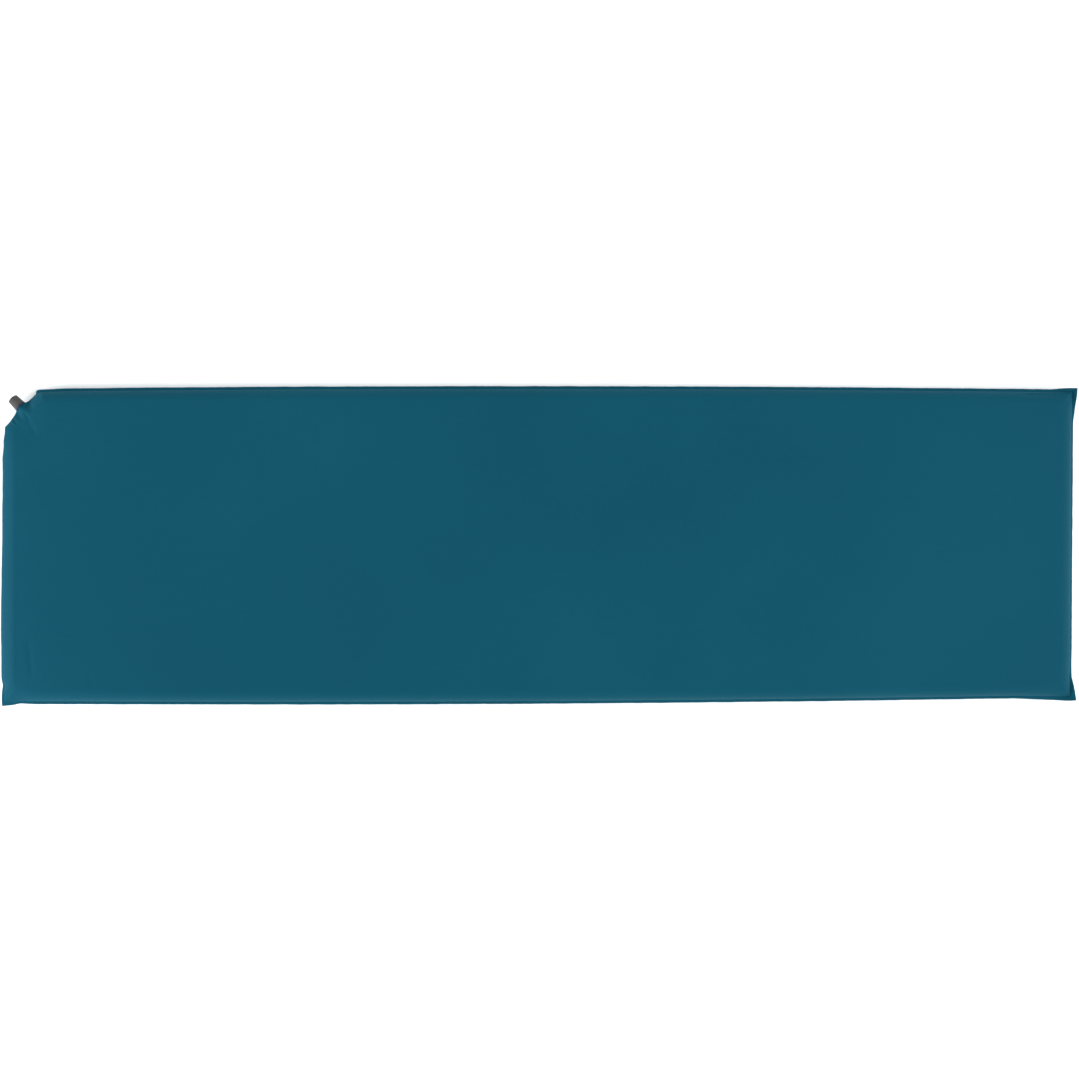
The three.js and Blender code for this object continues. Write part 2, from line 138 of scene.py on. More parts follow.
# ---------------------------------------------------------------- layers
# "flange" is a layer's height above the seam plane in the flange, and "closed" its height at the free edge.
# "trimmed" is how far its edge lies inside the cloth's cut edge, and "inset" how far it lies inside the outer
# face of the cloth. Outside the films' edges the two cloths close on each other.
CLOTH = {
    "flange": 0.95 * MM,
    "closed": 0.48 * MM,
    "trimmed": 0.0,
    "inset": 0.0,
    "thick": 0.45 * MM,
}
FILM = {
    "flange": 0.47 * MM,
    "closed": 0.47 * MM,
    "trimmed": 0.7 * MM,
    "inset": 0.8 * MM,
    "thick": 0.44 * MM,
}
FOAM_INSET = 1.4 * MM

# ---------------------------------------------------------------- creases and slack in the cloth
# Where a value is a pair, it holds for the left end and the right one, unless its comment says otherwise.
EAR_HOLD = 0.45  # share of an ear's offset that the weld line follows, so that the ear itself is flat
CORNER_REACH = 30 * MM
EAR_REACH = 26 * MM
END_FADE = (45 * MM, 14 * MM)  # distances from either end at which its own shape sets in, and is full
END_PROUD = (1.0 * MM, 1.8 * MM)  # how far the ends' free edges stand out from their straight lines
END_DRAWN = (0.5, 0.15)  # how far the side wall is drawn down at the ends
CUT_DRAWN = 0.5  # and along the cut corner
RIPPLE = 0.4 * MM  # how far the flange's cut edge wanders in plan
FLANGE_DROOP = (0.8 * MM, 2.6 * MM)  # how far the free edge hangs, along the sides and across the ends
OVERHUNG = 0.5  # share of the flange's width that the rounded wall covers across the ends
# The upper cover sinks towards the valve (middle, depth, reach), and slopes down to each end.
SLACK = (Vector((-0.905, 0.214)), 8.5 * MM, 40 * MM)
END_SLOPES = (3.4 * MM, 1.6 * MM)
END_SLOPE_REACH = 38 * MM
# Depth of the small folds on the wall, of the gathers that run in from the weld and of the flange's waves:
# along the straight edges, and what is added at a square corner and along the cut one.
PUCKER = (0.35 * MM, 0.9 * MM, 0.8 * MM)
GATHERS = (0.12 * MM, 0.7 * MM, 0.5 * MM)
FLUTTER = (0.5 * MM, 1.4 * MM, 0.6 * MM)
BUNCHES = [  # bunched folds along the cut corner: (distance from the valve, half width, depth)
    (-30 * MM, 9 * MM, 3.6 * MM),
    (26 * MM, 9 * MM, 3.2 * MM),
]
NICKS = [  # dents in the seam, or bulges where the depth is negative: (where, depth, reach)
    (Vector((-0.925, -0.236)), 2.2 * MM, 7 * MM),
    (Vector((-0.921, 0.181)), -1.0 * MM, 6 * MM),
    (Vector((-0.893, -0.268)), 1.2 * MM, 9 * MM),
    (Vector((-0.925, -0.120)), -1.6 * MM, 90 * MM),
]
CREASES = [  # short creases in the upper cover: (from, to, depth, half width)
    (Vector((-0.877, -0.168)), Vector((-0.872, -0.212)), 0.9 * MM, 4 * MM),
    (Vector((-0.773, -0.222)), Vector((-0.770, -0.236)), 0.5 * MM, 4 * MM),
    (Vector((-0.715, -0.221)), Vector((-0.713, -0.238)), 0.5 * MM, 4 * MM),
    (Vector((-0.883, 0.225)), Vector((-0.880, 0.221)), 1.2 * MM, 2.6 * MM),
    (Vector((-0.877, 0.212)), Vector((-0.868, 0.196)), 0.8 * MM, 5 * MM),
    (Vector((0.835, 0.257)), Vector((0.893, 0.256)), 1.6 * MM, 3 * MM),
]

# ---------------------------------------------------------------- mesh spacing
FINE_SPACING = 3.5 * MM
COARSE_SPACING = 7 * MM
CUT_DENSITY = 3  # how many times closer the stations of the cut corner are
WALL_STEPS = 14
UPPER_RINGS = 64
UNDER_RINGS = 16
FLANGE_SHARES = (0, 0.06, 0.16, 0.24, 0.4, 0.56, 0.72, 0.8, 0.9)
WELD_LINES = ((0.16, 0.07), (0.8, 0.08))  # shares of the flange's width where the weld's borders stand proud
WELD_LINE_HEIGHT = 0.1 * MM

# ---------------------------------------------------------------- cloth colours
YARN = 0.42 * MM
UPPER_DYE = ((0.0019, 0.0560, 0.0868), (0.0012, 0.0492, 0.0788))
UNDER_DYE = ((0.004, 0.045, 0.068), (0.003, 0.038, 0.060))


def smoothstep(value, low, high):
    t = np.clip((value - low) / (high - low), 0, 1)
    return t * t * (3 - 2 * t)


def noise_at(points, size, seed):
    """Smooth noise from -1 to 1 at each (x, y), with bumps of about the given size."""
    return np.array([noise.noise(Vector((x / size, y / size, seed))) for x, y in points])


# ---------------------------------------------------------------- seam stations
def valve_lift(across):
    """How far the seam opens round the valve's tube, at a distance from its axis."""
    return TUBE_LIFT * np.exp(-0.55 * np.abs(across / FAIRING) ** 2.2)


def inward_of(direction):
    return np.array([-direction[1], direction[0]])


def mitre(n1, n2):
    return (n1 + n2) / (1 + n1 @ n2)


def turned_by(vector, angle):
    c, s = math.cos(angle), math.sin(angle)
    return np.array([c * vector[0] - s * vector[1], s * vector[0] + c * vector[1]])


def shoulder_point(corner, distance, own, other, straight_in):
    """Where the flat face's rounded shoulder lies for a seam point this far from a corner."""
    turn = math.acos(max(-1.0, min(1.0, float(own @ other))))
    inset = FLANGE_WIDTH + WALL_REACH
    arc_start = (inset + SHOULDER_RADIUS) * math.tan(turn / 2)
    along = 1 - distance / arc_start
    if along <= 0:
        return straight_in
    centre = np.array(corner) + mitre(own, other) * (inset + SHOULDER_RADIUS)
    way = np.sign(own[0] * other[1] - own[1] * other[0]) * turn / 2 * along
    return centre - turned_by(own, way) * SHOULDER_RADIUS


def lengthwise(direction):
    return abs(direction[0]) > 0.99


def steps_along(start, direction, length, spacing):
    """Distances along an edge. Both long edges use one grid, so that their rows meet in the middle."""
    if not lengthwise(direction):
        diagonal = abs(direction[0]) > 0.1
        count = round(length / spacing) * (CUT_DENSITY if diagonal else 1)
        return [length * i / count for i in range(count)]
    least = 0.4 * spacing
    first = math.ceil(min(start[0], start[0] + direction[0] * length) / spacing)
    last = math.floor(max(start[0], start[0] + direction[0] * length) / spacing)
    grid = [(i * spacing - start[0]) * direction[0] for i in range(first, last + 1)]
    return [0.0] + sorted(step for step in grid if least < step < length - least)


def nick_at(point):
    return sum(
        depth * math.exp(-(((Vector(point) - where).length / reach) ** 2))
        for where, depth, reach in NICKS
    )


def seam_stations(spacing):
    """Points round the pad, anticlockwise from above, as a dictionary of arrays."""
    count = len(CORNERS)
    at = [np.array(c["at"]) for c in CORNERS]
    ways = [at[(i + 1) % count] - at[i] for i in range(count)]
    lengths = [float(np.linalg.norm(w)) for w in ways]
    inwards = [inward_of(w / n) for w, n in zip(ways, lengths)]
    rows = []
    for side, (way, length) in enumerate(zip(ways, lengths)):
        direction = way / length
        first, second = CORNERS[side], CORNERS[(side + 1) % count]
        own, before, after = inwards[side], inwards[side - 1], inwards[(side + 1) % count]
        for step in steps_along(at[side], direction, length, spacing):
            line = at[side] + direction * step
            bow = SIDE_BOW * (1 - (line[0] / HALF_LENGTH) ** 2) if lengthwise(direction) else 0
            straight = line + own * (nick_at(line) - bow)
            ears = sum(
                np.array(corner["ear"]) * (1 - min(gap / corner["reach"][which], 1) ** 1.4)
                for corner, which, gap in ((first, 1, step), (second, 0, length - step))
            )
            across = step - length / 2 if side == VALVE_SIDE else FAR_FROM_VALVE
            straight_in = line + own * (FLANGE_WIDTH + WALL_REACH - bow)
            near_first = step < length / 2
            corner, gap, other = (first, step, before) if near_first else (second, length - step, after)
            away = direction if near_first else -direction
            mitre_slope = math.tan(math.acos(float(own @ other)) / 2)
            square = own @ other < 0.1
            rows.append({
                "base": straight + ears,
                "held": straight + ears * EAR_HOLD,
                "inward": own + away * max(0.0, mitre_slope - gap / FLANGE_WIDTH),
                "own": own,
                "shoulder": shoulder_point(corner["at"], gap, own, other, straight_in),
                "across": across,
                "corner": math.exp(-((gap / CORNER_REACH) ** 2)) * square,
                "rise": corner["rise"] * math.exp(-((gap / EAR_REACH) ** 2)),
                "drawn": corner["drawn"] * math.exp(-((gap / CORNER_REACH) ** 2)) * square,
            })
    stations = {key: np.array([row[key] for row in rows]) for key in rows[0]}
    across = np.abs(stations["across"])
    reach = NECK_END * (1 - smoothstep(across, *NECK_FADE))
    half_cut = CORNER_CUT / math.sqrt(2)
    stations["lift"] = valve_lift(stations["across"])
    stations["neck"] = 1 - smoothstep(across, *NECK_SMOOTH)
    stations["cut"] = 1 - smoothstep(across, 0.75 * half_cut, half_cut)
    end = smoothstep(np.abs(stations["base"][:, 0]), *(HALF_LENGTH - gap for gap in END_FADE))
    stations["end"] = end * (1 - stations["corner"]) * (1 - stations["cut"])
    at_left = stations["base"][:, 0] < 0
    soft_end = stations["end"] * np.where(at_left, *END_DRAWN)
    stations["drawn"] = np.maximum.reduce([stations["drawn"], CUT_DRAWN * stations["cut"], soft_end])
    proud = stations["end"] * np.where(at_left, *END_PROUD)
    ripple = noise_at(stations["base"], 24 * MM, 6.6) + 0.5 * noise_at(stations["base"], 8 * MM, 3.1)
    out = reach + proud + RIPPLE * ripple * (1 - stations["neck"])
    stations["edge"] = stations["base"] - stations["own"] * out[:, None]
    covered = OVERHUNG * np.maximum(stations["end"], stations["cut"] * (1 - stations["neck"]))
    stations["weld"] = stations["held"] + stations["inward"] * (FLANGE_WIDTH * (1 - covered))[:, None]
    return stations


# ---------------------------------------------------------------- skins
def fold_depth(stations, depths):
    """Depth of a kind of fold at each station, from its three depths."""
    edge, corner, cut = depths
    return (edge + corner * stations["corner"] + cut * stations["cut"]) * (1 - stations["neck"])


def pucker(stations):
    """How far the wall's small folds push it out, at each station."""
    where = stations["base"]
    folds = 0.6 * noise_at(where, 13 * MM, 1.7) + 0.5 * noise_at(where, 31 * MM, 5.1)
    return folds * fold_depth(stations, PUCKER)


def gathers(stations):
    """Height of the small sharp gathers that run in from the weld, at each station."""
    sharp = 1 - 2.6 * np.abs(noise_at(stations["base"], 9 * MM, 12.4))
    return sharp * fold_depth(stations, GATHERS)


def bunching(stations):
    """Height of the bunched folds beside the valve, at each station."""
    where = stations["base"]
    sharp = 0.5 - 2.4 * np.abs(noise_at(where, 8 * MM, 4.9)) + 0.6 * noise_at(where, 3.6 * MM, 7.7)
    return sharp * sum(
        depth * np.exp(-(((stations["across"] - at) / half) ** 2))
        for at, half, depth in BUNCHES
    )


def flutter(stations):
    """How far the flange's free edge stands above the weld."""
    where = stations["base"]
    wave = noise_at(where, 46 * MM, 9.3) + 0.4 * noise_at(where, 17 * MM, 2.2)
    side, end = FLANGE_DROOP
    droop = (side + (end - side) * stations["end"]) * (1 - stations["corner"]) * (1 - stations["neck"])
    return wave * fold_depth(stations, FLUTTER) - droop + stations["rise"]


def wall_height(share, drawn):
    """Height of the side wall at a share of its plan width: round, or drawn down as at an ear."""
    round_side = np.clip(1 - (1 - share) ** 2, 0, 1) ** 0.7
    return round_side * (1 - drawn) + smoothstep(share, -0.1, 1.0) * drawn


def undulation(points):
    """The flat faces aren't quite flat."""
    return 0.3 * MM * noise_at(points, 0.21, 3.3) + 0.12 * MM * noise_at(points, 0.07, 8.8)


def sag(points):
    """How far the upper cover and what is under it sink below the flat face."""
    middle, depth, reach = SLACK
    to_valve = depth * np.exp(-(np.hypot(*(points - np.array(middle)).T) / reach) ** 2)
    x = points[:, 0]
    inside = np.maximum(np.minimum(x - EDGE_LEFT, EDGE_RIGHT - x) - FLANGE_WIDTH - WALL_REACH, 0)
    to_end = np.where(x < 0, *END_SLOPES) * np.exp(-inside / END_SLOPE_REACH)
    return np.hypot(to_valve, to_end)


def creasing(points):
    """Depth of the short creases in the upper cover."""
    total = np.zeros(len(points))
    for start, end, depth, half_width in CREASES:
        first = np.array(start)
        way = np.array(end - start)
        length = np.linalg.norm(way)
        along = (points - first) @ way / length
        off = np.abs((points - first) @ np.array([-way[1], way[0]])) / length
        past = np.maximum(np.maximum(-along, along - length), 0)
        total += depth * np.exp(-((off / half_width) ** 2) - (past / (2 * half_width)) ** 2)
    return total


def wall_shares():
    """Shares of the side wall's plan width, closest where it is steepest."""
    return [1 - math.cos(i / WALL_STEPS * math.pi / 2) for i in range(WALL_STEPS + 1)]


def interior_shares(rings):
    """Shares of the way from the shoulder to the middle line, closest at the shoulder."""
    return [(i / rings) ** 1.35 for i in range(1, rings + 1)]


def middle_line(stations):
    """Where each station's row ends, on the middle line of the flat face."""
    far = HALF_LENGTH - HALF_WIDTH
    x = stations["shoulder"][:, 0]
    return np.stack([np.clip(x, -far, far), np.zeros(len(x))], axis=1)


def skin_rows(stations, layer, up, rings):
    """Rows of points from the seam's edge over the wall to the middle line of the flat face."""
    inward = stations["inward"]
    edge = stations["edge"]
    weld = stations["weld"]
    shoulder = stations["shoulder"]
    smooth_neck = 1 - stations["neck"]
    width = np.linalg.norm(weld - edge, axis=1)
    trimmed = layer["trimmed"] / width
    wall_foot = weld + inward * layer["inset"]
    low = layer["flange"] + stations["lift"]
    top = HALF_BODY - layer["inset"]
    wave = flutter(stations)
    folds = pucker(stations)
    pleats = gathers(stations)
    bunches = bunching(stations)
    sinks = up > 0
    rows = []
    for step in FLANGE_SHARES:
        share = trimmed + (1 - trimmed) * step
        plan = edge + (weld - edge) * share[:, None]
        lips = WELD_LINE_HEIGHT * sum(np.exp(-(((share - at) / half) ** 2)) for at, half in WELD_LINES)
        pinch = (layer["flange"] - layer["closed"]) * (1 - smoothstep(share * width, 0, FILM["trimmed"]))
        height = low + (lips - pinch) * smooth_neck
        rows.append((plan, SEAM_Z + up * height + wave * (1 - share) ** 1.2))
    for share in wall_shares():
        plan = wall_foot + (shoulder - wall_foot) * share
        push = folds * (1 - share) ** 1.3 * min(1.0, share * 12)
        full = top - sag(shoulder) * sinks
        height = low + (full - low) * wall_height(share, stations["drawn"])
        fold = pleats * math.sin(math.pi * min(1.0, share * 1.25)) ** 1.5
        fold += bunches * min(1.0, share * 9) * math.exp(-2.2 * share) * (1 - share)
        fold -= creasing(plan)
        rows.append((plan - inward * push[:, None], SEAM_Z + up * (height + fold * sinks)))
    middle = middle_line(stations)
    for share in interior_shares(rings):
        plan = shoulder + (middle - shoulder) * share
        fade = min(1.0, share * 6)
        height = top + undulation(plan) * fade - (sag(plan) + creasing(plan)) * sinks
        rows.append((plan, SEAM_Z + up * height))
    return [np.column_stack([plan, np.broadcast_to(z, len(plan))]) for plan, z in rows]


def mesh_from_rows(name, rows, flip):
    """A surface of quads through closed rows of equal length, with coinciding points joined."""
    size = len(rows[0])
    points = np.concatenate(rows)
    faces = []
    for r in range(len(rows) - 1):
        for j in range(size):
            k = (j + 1) % size
            quad = (r * size + j, r * size + k, (r + 1) * size + k, (r + 1) * size + j)
            faces.append(quad[::-1] if flip else quad)
    mesh = bpy.data.meshes.new(name)
    mesh.from_pydata(points.tolist(), [], faces)
    tidy_mesh(mesh)
    obj = bpy.data.objects.new(name, mesh)
    bpy.context.scene.collection.objects.link(obj)
    return obj


def tidy_mesh(mesh):
    """Join coinciding points, drop the empty faces that leaves and shade the rest smooth."""
    made = bmesh.new()
    made.from_mesh(mesh)
    bmesh.ops.remove_doubles(made, verts=made.verts, dist=1e-5)
    bmesh.ops.dissolve_degenerate(made, edges=made.edges, dist=1e-6)
    for face in made.faces:
        face.smooth = True
    made.to_mesh(mesh)
    made.free()


def skin(name, stations, layer, up, rings):
    """One layer of a cover, given its thickness on the inner side."""
    obj = mesh_from_rows(name, skin_rows(stations, layer, up, rings), flip=up < 0)
    solid = obj.modifiers.new("thickness", "SOLIDIFY")
    solid.thickness = layer["thick"]
    solid.offset = -1
    solid.use_rim = True
    return obj


def foam_slab(stations):
    """The foam: rounded at its sides by the covers, and cut back round the valve's inner end."""
    cut_back = 20 * MM
    cut_half_width = 34 * MM
    cut_drop = 1.2 * MM
    crease_share = 1.2
    notch = smoothstep(cut_half_width - np.abs(stations["across"]), 0, cut_half_width) * cut_back
    back = -np.array(VALVE_AXIS[:2])
    start = stations["weld"] + stations["inward"] * (FOAM_INSET + 1 * MM)
    shoulder = stations["shoulder"]
    middle = middle_line(stations)

    def half(up, rings):
        full = HALF_BODY - FOAM_INSET
        sinks = up > 0
        rows = []
        for share in wall_shares():
            plan = start + (shoulder - start) * share + back * notch[:, None]
            height = full - (sag(shoulder) + cut_drop * stations["cut"]) * sinks
            crease = crease_share * creasing(plan) * share * sinks
            rows.append((plan, height * wall_height(share, stations["drawn"]) - crease))
        for share in interior_shares(rings):
            plan = shoulder + (middle - shoulder) * share + back * (notch * (1 - share))[:, None]
            drop = sag(plan) + cut_drop * stations["cut"] * (1 - share) ** 8 + crease_share * creasing(plan)
            rows.append((plan, full - drop * sinks))
        return [np.column_stack([plan, SEAM_Z + up * z]) for plan, z in rows]

    rows = half(-1, UNDER_RINGS)[::-1] + half(1, UPPER_RINGS)[1:]
    return mesh_from_rows("foam_slab", rows, flip=False)


# ---------------------------------------------------------------- grip print
def grip_dots():
    """Low round dots of print in staggered rows under the flat face."""
    low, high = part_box("grip_print")
    pitch = 24 * MM
    radius = 3 * MM
    sides = 10
    dome = 0.1 * MM
    sunk = 0.02 * MM
    chamfer = (low.x + 72 * MM, high.y)
    points, faces = [], []
    rows = int((high.y - low.y) / (pitch * math.sqrt(3) / 2))
    for row in range(rows + 1):
        y = low.y + radius + row * (high.y - low.y - 2 * radius) / rows
        shift = pitch / 2 if row % 2 else 0
        columns = int((high.x - low.x - 2 * radius - shift) / pitch)
        for column in range(columns + 1):
            x = low.x + radius + shift + column * pitch
            if (y - x) > (chamfer[1] - chamfer[0]) - radius * 1.5:
                continue
            first = len(points)
            points.append((x, y, low.z))
            for ring_radius, z in ((0.8 * radius, low.z + dome), (radius, BASE_Z + sunk)):
                for i in range(sides):
                    angle = 2 * math.pi * i / sides
                    points.append((x + ring_radius * math.cos(angle), y + ring_radius * math.sin(angle), z))
            inner, outer = first + 1, first + 1 + sides
            for i in range(sides):
                k = (i + 1) % sides
                faces.append((first, inner + k, inner + i))
                faces.append((inner + i, inner + k, outer + k, outer + i))
            faces.append(tuple(outer + i for i in range(sides)))
    mesh = bpy.data.meshes.new("grip_dots")
    mesh.from_pydata(points, [], faces)
    for polygon in mesh.polygons:
        polygon.use_smooth = len(polygon.vertices) < sides
    obj = bpy.data.objects.new("grip_dots", mesh)
    bpy.context.scene.collection.objects.link(obj)
    return obj


# ---------------------------------------------------------------- valve
def valve_frame():
    """Matrix from the valve's own axes (x across, y out along it, z up) to the row frame."""
    y = VALVE_AXIS
    z = Vector((0, 0, 1))
    x = y.cross(z)
    turn = Matrix((x, y, z)).transposed().to_4x4()
    return Matrix.Translation(VALVE_AT) @ turn


def reach_of(node):
    """(inner end, outer end, largest radius) of a CAD node along the valve's axis."""
    back = valve_frame().inverted()
    local = [back @ v.co for v in frame["nodes"][node].data.vertices]
    return min(p.y for p in local), max(p.y for p in local), max(math.hypot(p.x, p.z) for p in local)


def turned_rows(profile, sides, radius_at):
    """Rings about the valve's axis through (radius, height) pairs, shaped further by radius_at."""
    rows = []
    for radius, y in profile:
        ring = []
        for i in range(sides):
            angle = 2 * math.pi * i / sides
            r = radius_at(radius, y, angle)
            ring.append((r * math.sin(angle), y, r * math.cos(angle)))
        rows.append(np.array(ring))
    return rows


def moulded_cap():
    """The screw cap with rounded ribs, a crowned end, a flared mouth and its threaded bore."""
    inner_end, outer_end, radius = reach_of("valve_cap")
    ribs = 24
    sides = ribs * 10
    rib_depth = 0.45 * MM
    wall = 0.9 * MM
    taper = 0.045
    lip = 7.6 * MM
    lip_end = 7.3 * MM
    skirt = 6.95 * MM
    bore = 7.2 * MM
    thread_root = 5.8 * MM
    thread_depth = 0.7 * MM
    thread_half_width = 1.1 * MM
    thread_flank = 0.45 * MM
    thread_from = 10 * MM
    thread_to = 13.4 * MM
    pitch = 3 * MM
    seat_radius = 6.3 * MM
    seat_from = 20.4 * MM
    seat_end = 22.25 * MM
    mouth = 3.1 * MM
    flare = 4.3 * MM
    crown_height = 3.4 * MM
    crown_depth = 4.2 * MM
    crown_from = outer_end - crown_height
    side_steps, crown_steps, thread_steps = 16, 10, 24

    def side_radius(y):
        return radius - taper * (y - inner_end)

    def ribbed(r, y, angle):
        if r < side_radius(y) - wall:
            return r
        fade_in = smoothstep(y, inner_end + 1.0 * MM, inner_end + 1.7 * MM)
        fade_out = 1 - smoothstep(y, crown_from - 0.9 * MM, crown_from)
        valley = 0.5 - 0.5 * math.cos(ribs * angle)
        return r - rib_depth * fade_in * fade_out * valley ** 0.8

    def threaded(r, y, angle):
        beyond = 0.3 * MM
        if not (thread_from - beyond <= y <= thread_to + beyond) or r > thread_root + 0.2 * MM:
            return r
        run = (y - thread_from) / pitch - angle / (2 * math.pi)
        offset = abs(run - round(run)) * pitch
        tooth = max(0.0, min(1.0, (thread_half_width - offset) / thread_flank))
        return r + thread_depth * tooth

    outside = [(radius - 0.5 * MM, inner_end), (radius - 0.15 * MM, inner_end + 0.15 * MM)]
    side_from = inner_end + 0.5 * MM
    for i in range(side_steps + 1):
        y = side_from + (crown_from - side_from) * i / side_steps
        outside.append((side_radius(y), y))
    for i in range(1, crown_steps + 1):
        angle = i / crown_steps * math.pi / 2
        crown_radius = side_radius(crown_from) - crown_depth * (1 - math.cos(angle))
        outside.append((crown_radius, crown_from + crown_height * math.sin(angle)))
    outside += [
        (flare, outer_end),
        (flare - 0.4 * MM, outer_end - 0.15 * MM),
        (mouth, outer_end - 1.0 * MM),
        (mouth, seat_end),
    ]
    inside = [
        (seat_radius, seat_end),
        (seat_radius, seat_from),
        (bore, seat_from - 0.6 * MM),
        (bore, thread_to + 0.15 * MM),
    ]
    thread_length = thread_to - thread_from + 0.3 * MM
    inside += [(thread_root, thread_to - thread_length * i / thread_steps) for i in range(thread_steps + 1)]
    inside += [
        (skirt, thread_from - 0.7 * MM),
        (skirt, lip_end + 0.3 * MM),
        (lip, lip_end),
        (lip, inner_end + 0.3 * MM),
        (lip + 0.3 * MM, inner_end),
    ]
    profile = outside + inside + outside[:1]
    rows = turned_rows(profile, sides, lambda r, y, angle: threaded(ribbed(r, y, angle), y, angle))
    obj = mesh_from_rows("ribbed_cap", rows, flip=True)
    obj.data.transform(valve_frame())
    return obj


def smooth_by_angle(obj):
    """Shade a CAD piece smooth, except across its sharp edges."""
    mesh = obj.data
    for polygon in mesh.polygons:
        polygon.use_smooth = True
    made = bmesh.new()
    made.from_mesh(mesh)
    limit = math.radians(35)
    for edge in made.edges:
        edge.smooth = len(edge.link_faces) == 2 and edge.calc_face_angle(0) < limit
    made.to_mesh(mesh)
    made.free()


# ---------------------------------------------------------------- materials
def new_material(name, colour, roughness):
    material = bpy.data.materials.new(name)
    material.use_nodes = True
    shader = material.node_tree.nodes["Principled BSDF"]
    shader.inputs["Base Color"].default_value = (*colour, 1)
    shader.inputs["Roughness"].default_value = roughness
    return material, material.node_tree, shader


def node(tree, kind, **inputs):
    made = tree.nodes.new(kind)
    for name, value in inputs.items():
        made.inputs[name].default_value = value
    return made


def math_node(tree, operation, first, second=None):
    """A Math node's output. Each operand is a number or another node's output."""
    made = tree.nodes.new("ShaderNodeMath")
    made.operation = operation
    for socket, value in zip(made.inputs, (first, second)):
        if value is None:
            continue
        if isinstance(value, (int, float)):
            socket.default_value = value
        else:
            tree.links.new(value, socket)
    return made.outputs[0]


def object_position(tree):
    return node(tree, "ShaderNodeTexCoord").outputs["Object"]


def noise_field(tree, position, scale, detail=3.0, roughness=0.5):
    made = node(tree, "ShaderNodeTexNoise", Scale=scale, Detail=detail, Roughness=roughness)
    tree.links.new(position, made.inputs["Vector"])
    return made.outputs["Fac"]


def ramp(tree, factor, low, high, start, end):
    """factor mapped from low..high to start..end, and clamped."""
    made = node(tree, "ShaderNodeMapRange")
    made.inputs["From Min"].default_value = low
    made.inputs["From Max"].default_value = high
    made.inputs["To Min"].default_value = start
    made.inputs["To Max"].default_value = end
    tree.links.new(factor, made.inputs["Value"])
    return made.outputs["Result"]


def mixed_colour(tree, factor, first, second):
    """Two colours mixed by a factor. Each is a tuple or another node's output."""
    made = tree.nodes.new("ShaderNodeMix")
    made.data_type = "RGBA"
    a, b = (s for s in made.inputs if s.type == "RGBA")
    tree.links.new(factor, made.inputs[0])
    for socket, value in ((a, first), (b, second)):
        if isinstance(value, tuple):
            socket.default_value = (*value, 1)
        else:
            tree.links.new(value, socket)
    return next(s for s in made.outputs if s.type == "RGBA")


def bump(tree, shader, height, distance, strength):
    made = node(tree, "ShaderNodeBump", Distance=distance, Strength=strength)
    tree.links.new(height, made.inputs["Height"])
    tree.links.new(made.outputs["Normal"], shader.inputs["Normal"])


def cloth_material(name, light, dark):
    """Plain-woven coated cloth: crossing yarns with painted shade in the weave's low points, thick and thin
    stretches of yarn, and slow changes of dye.
    """
    material, tree, shader = new_material(name, light, 0.72)
    shader.inputs["Specular IOR Level"].default_value = 0.04
    shader.inputs["Sheen Weight"].default_value = 0.12
    shader.inputs["Sheen Roughness"].default_value = 0.45
    shader.inputs["Sheen Tint"].default_value = (0.5, 0.95, 1.0, 1)
    position = object_position(tree)
    axes = node(tree, "ShaderNodeSeparateXYZ")
    tree.links.new(position, axes.inputs[0])
    along = math_node(tree, "ADD", axes.outputs["X"], axes.outputs["Z"])
    across = math_node(tree, "ADD", axes.outputs["Y"], axes.outputs["Z"])
    warp = math_node(tree, "SINE", math_node(tree, "MULTIPLY", along, math.pi / YARN))
    weft = math_node(tree, "SINE", math_node(tree, "MULTIPLY", across, math.pi / YARN))
    weave = math_node(tree, "MULTIPLY", warp, weft)
    slow = noise_field(tree, position, 2.2, 2.0)
    streaks = node(tree, "ShaderNodeMapping")
    streaks.inputs["Scale"].default_value = (6, 260, 260)
    tree.links.new(position, streaks.inputs["Vector"])
    slub = noise_field(tree, streaks.outputs[0], 4.0, 2.0)
    broad = math_node(tree, "MULTIPLY", slow, 0.75)
    narrow = math_node(tree, "MULTIPLY", slub, 0.25)
    shade = math_node(tree, "ADD", broad, narrow)
    dye = mixed_colour(tree, ramp(tree, shade, 0.35, 0.65, 0, 1), dark, light)
    # Painted shade: the weave's low points are darkened towards a deep teal, as if shaded between the yarns.
    painted_weave_shade = mixed_colour(tree, ramp(tree, weave, -1, 1, 0.22, 0), dye, tuple(c * 0.35 for c in dark))
    tree.links.new(painted_weave_shade, shader.inputs["Base Color"])
    height = math_node(tree, "ADD", weave, math_node(tree, "MULTIPLY", slub, 0.8))
    bump(tree, shader, height, YARN * 0.18, 0.6)
    return material


def film_material():
    """Milky air-tight film with an uneven haze."""
    material, tree, shader = new_material("laminating_film", (0.42, 0.5, 0.53), 0.35)
    shader.inputs["Transmission Weight"].default_value = 0.25
    position = object_position(tree)
    haze = noise_field(tree, position, 60, 4.0)
    clouded = mixed_colour(tree, haze, (0.34, 0.42, 0.45), (0.52, 0.6, 0.63))
    tree.links.new(clouded, shader.inputs["Base Color"])
    bump(tree, shader, noise_field(tree, position, 900, 2.0), 0.05 * MM, 0.5)
    return material


